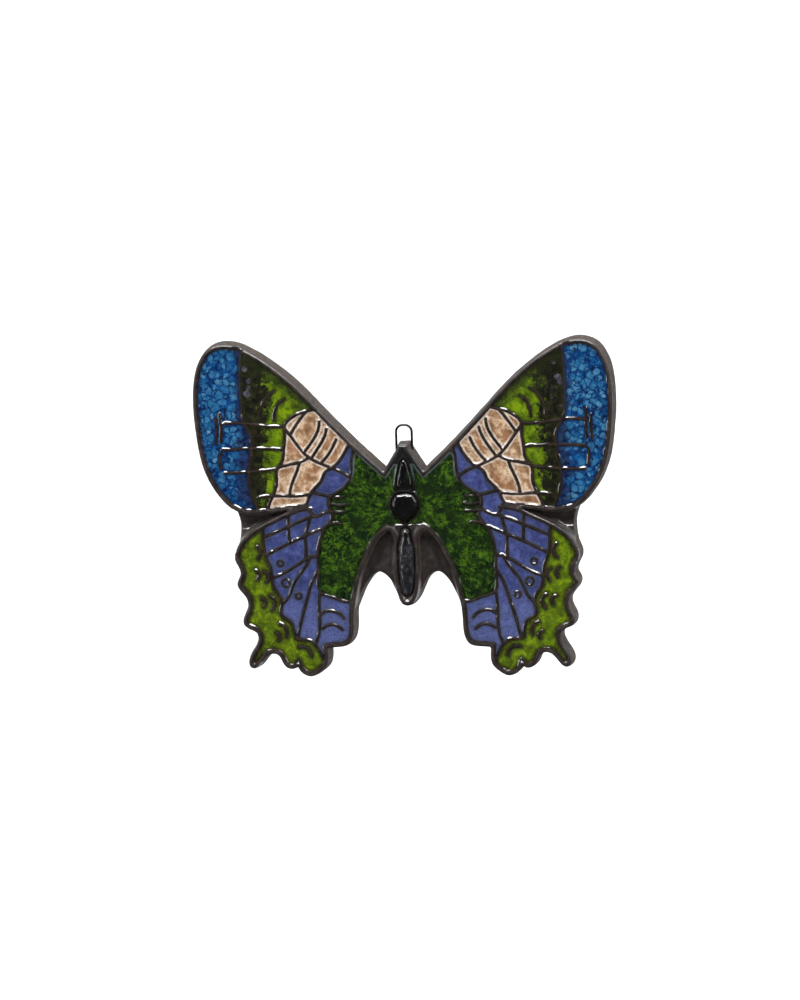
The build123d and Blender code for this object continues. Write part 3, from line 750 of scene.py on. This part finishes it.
def make_clay(material):
    rings = [slab] + pool_rings
    near = Nearness(rings)
    inner = grid_inside(rings, FINE, 0.06, near)
    every = np.vstack(rings + [inner])
    depth = clay_depth(every)
    shell = Shell()
    front = shell.add(every, depth, to_pool(every))
    shell.cap(triangles(rings, inner), front)
    # pool walls and floors
    base = len(slab)
    for ring in pool_rings:
        span = range(base, base + len(ring))
        floor = shell.add(ring, FLOOR - 0.02)
        shell.wall([front[i] for i in span][::-1], floor[::-1])
        base += len(ring)
    floors = range(len(every), len(every) + sum(map(len, pool_rings)))
    shell.cap(triangles(pool_rings), floors)
    # the cut edge of the slab, leaning outwards towards the back
    normal = outward(slab)
    ripple = 0.05 * fbm(slab, 2.0, 5.0)[:, None] * normal
    row = [front[i] for i in range(len(slab))]
    edge_depth = depth[:len(slab)]
    for share in (0.93, 0.8, 0.6, 0.4, 0.2, 0.06, 0.0):  # of the thickness, from the front to the back
        lean = DRAFT * (1 - share) - (0.0 if share else BACK_ROUND)
        bulge = 0.06 * math.sin(math.pi * share)
        here = slab + normal * (lean + bulge) + ripple * min(1.0, 4 * (1 - share))
        nxt = shell.add(here, edge_depth * share)
        shell.wall(row, nxt)
        row = nxt
    # flat back with the recess for the pin bar
    back_ring = slab + normal * (DRAFT - BACK_ROUND) + ripple
    mouth = shell.add(recess, 0.0)
    back_near = Nearness([back_ring, recess])
    back_inner = grid_inside([back_ring, recess], BACK_STEP, 0.4, back_near)
    inner_ids = shell.add(back_inner, 0.015 * fbm(back_inner, 3.0, 9.0))
    shell.cap(triangles([back_ring, recess], back_inner), row + mouth + inner_ids, front=False)
    deep = shell.add(recess, RECESS)
    shell.wall(deep, mouth)
    shell.cap(triangles([recess]), deep, front=False)
    shell.build("clay_relief", material, "clay_body")


looks = {
    "tip_blue_glaze": blue_glaze(),
    "forewing_green_glaze": forewing_green_glaze(),
    "cream_glaze": cream_glaze(),
    "forewing_violet_glaze": violet_glaze("forewing_violet_glaze"),
    "hindwing_violet_glaze": violet_glaze("hindwing_violet_glaze"),
    "dark_green_glaze": dark_green_glaze(),
    "lime_margin_glaze": lime_margin_glaze(),
}
make_clay(stoneware())
for side in ("left", "right"):
    for glaze in GLAZES:
        make_pool(f"{side}_{glaze}", looks[glaze])
make_pool("body_black_glaze", body_black_glaze())


# ---------------------------------------------------------------- wire loop and pin back

METALS = {
    "wire_loop": metal("dark_wire", (62, 62, 66), 0.28, 0.6, (3.0, 3.0, 3.0)),
    "pin_bar": metal("nickel_steel", (196, 192, 184), 0.24, 0.7),
    "hinge_rivet": metal("rivet_steel", (186, 182, 174), 0.3, 0.7, (6.0, 6.0, 2.0)),
    "pin_stem": metal("pin_steel", (204, 204, 204), 0.16, 0.5, (0.6, 20.0, 20.0)),
    "catch_rotor": metal("catch_steel", (190, 186, 178), 0.26, 0.7, (8.0, 8.0, 8.0)),
}


def carry(node, material, bevel_mm):
    """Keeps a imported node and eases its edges."""
    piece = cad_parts[node]
    piece.data.materials.clear()
    piece.data.materials.append(material)
    weld = piece.modifiers.new("weld", "WELD")
    weld.merge_threshold = 1e-6
    if bevel_mm:
        bevel = piece.modifiers.new("bevel", "BEVEL")
        bevel.width = bevel_mm * MM
        bevel.segments = 3
        bevel.limit_method = "ANGLE"
        bevel.angle_limit = math.radians(35)
    for polygon in piece.data.polygons:
        polygon.use_smooth = True
    piece.modifiers.new("normals", "WEIGHTED_NORMAL")


carry("wire_loop", METALS["wire_loop"], 0)
carry("pin_bar", METALS["pin_bar"], 0.08)
carry("hinge_rivet", METALS["hinge_rivet"], 0.1)
carry("pin_stem", METALS["pin_stem"], 0.06)
carry("catch_rotor", METALS["catch_rotor"], 0.06)
carry("adhesive_pad", epoxy(), 0.08)


# ---------------------------------------------------------------- stage, light, camera

def backdrop():
    """Pale floor that curves up behind the object; seen from behind, the curved wall isn't there."""
    level, bend_from, radius = -62, 120, 160
    profile = [(-9000, level), (bend_from, level)]
    for a in np.linspace(0.05, math.pi / 2, 16):
        profile.append((bend_from + radius * math.sin(a), level + radius - radius * math.cos(a)))
    profile.append((bend_from + radius, 900))
    verts = []
    for x in (-1500, 1500):
        verts += [(x * MM, y * MM, z * MM) for y, z in profile]
    n = len(profile)
    faces = [(i, n + i, n + i + 1, i + 1) for i in range(n - 1)]
    mesh = bpy.data.meshes.new("backdrop")
    mesh.from_pydata(verts, [], faces)
    mesh.polygons.foreach_set("use_smooth", [True] * len(mesh.polygons))
    look = Look("backdrop")
    tone = look.ramp(look.noise(0.004, 2), (0.3, (238, 240, 242)), (0.7, (246, 247, 249)))
    mesh.materials.append(look.finish(tone, 0.9))
    unseen = look.node("ShaderNodeBsdfTransparent")
    chosen = look.node("ShaderNodeMixShader")
    look.put(chosen.inputs[0], look.node("ShaderNodeNewGeometry").outputs["Backfacing"])
    look.put(chosen.inputs[1], look.shader.outputs[0])
    look.put(chosen.inputs[2], unseen.outputs[0])
    look.put(look.out.inputs[0], chosen.outputs[0])
    floor = bpy.data.objects.new("backdrop", mesh)
    bpy.context.scene.collection.objects.link(floor)
    floor.visible_glossy = False


def softbox(name, place_mm, size_mm, watts, aim=(0, 0, 0)):
    light = bpy.data.lights.new(name, "AREA")
    light.shape = "RECTANGLE"
    light.size, light.size_y = size_mm[0] * MM, size_mm[1] * MM
    light.energy = watts
    lamp = bpy.data.objects.new(name, light)
    lamp.location = Vector(place_mm) * MM
    lamp.rotation_mode = "QUATERNION"
    lamp.rotation_quaternion = (Vector(aim) * MM - lamp.location).to_track_quat("-Z", "Y")
    bpy.context.scene.collection.objects.link(lamp)
    return lamp


def camera(azimuth, elevation, roll, aim_mm, width_mm, lens=150.0):
    """Long lens: the frame's long side spans width_mm at the aim point."""
    data = bpy.data.cameras.new("camera")
    data.lens, data.sensor_width = lens, 36.0
    cam = bpy.data.objects.new("camera", data)
    a, e = math.radians(azimuth), math.radians(elevation)
    back = Vector((math.sin(a) * math.cos(e), -math.cos(a) * math.cos(e), math.sin(e)))
    cam.location = (Vector(aim_mm) + back * (width_mm * lens / 36.0)) * MM
    cam.rotation_mode = "QUATERNION"
    turn = (-back).to_track_quat("-Z", "Y")
    cam.rotation_quaternion = turn @ Quaternion((0, 0, 1), math.radians(roll))
    data.clip_start, data.clip_end = 0.01, 40
    bpy.context.scene.collection.objects.link(cam)
    bpy.context.scene.camera = cam


def surround():
    """Dim below and in front, bright above and behind; the camera itself sees it pale all round."""
    world = bpy.data.worlds.new("world")
    bpy.context.scene.world = world
    world.use_nodes = True
    sky = world.node_tree
    place = sky.nodes.new("ShaderNodeTexCoord")
    split = sky.nodes.new("ShaderNodeSeparateXYZ")
    lift = sky.nodes.new("ShaderNodeMath")
    lift.operation = "ADD"
    glow = sky.nodes.new("ShaderNodeMapRange")
    glow.interpolation_type = "SMOOTHSTEP"
    for socket, value in zip(glow.inputs[1:5], (-0.6, 0.8, 0.035, 0.75)):
        socket.default_value = value
    path = sky.nodes.new("ShaderNodeLightPath")
    seen = sky.nodes.new("ShaderNodeMath")
    seen.operation = "MAXIMUM"
    sky.links.new(place.outputs["Generated"], split.inputs[0])
    sky.links.new(split.outputs["Y"], lift.inputs[0])
    sky.links.new(split.outputs["Z"], lift.inputs[1])
    sky.links.new(lift.outputs[0], glow.inputs[0])
    sky.links.new(glow.outputs[0], seen.inputs[0])
    sky.links.new(path.outputs["Is Camera Ray"], seen.inputs[1])
    background = sky.nodes["Background"]
    background.inputs[0].default_value = (0.92, 0.93, 0.94, 1.0)
    sky.links.new(seen.outputs[0], background.inputs[1])


backdrop()
softbox("key", (-40, -400, 470), (520, 90), 2.3)
glint = softbox("glint", (-20, -410, 480), (620, 230), 6.0)
glint.visible_diffuse = False  # a large reflector seen only in the glaze's highlights
softbox("right", (430, -240, 160), (100, 240), 0.4)
softbox("left", (-440, -240, 20), (90, 240), 0.3)
softbox("behind", (0, 60, 500), (900, 300), 2.6, (0, 200, 0))
surround()
bpy.context.scene.view_settings.view_transform = "Standard"
camera(8.5, 8.0, -1.85, (-1.0, -2.0, -0.75), 164.6)
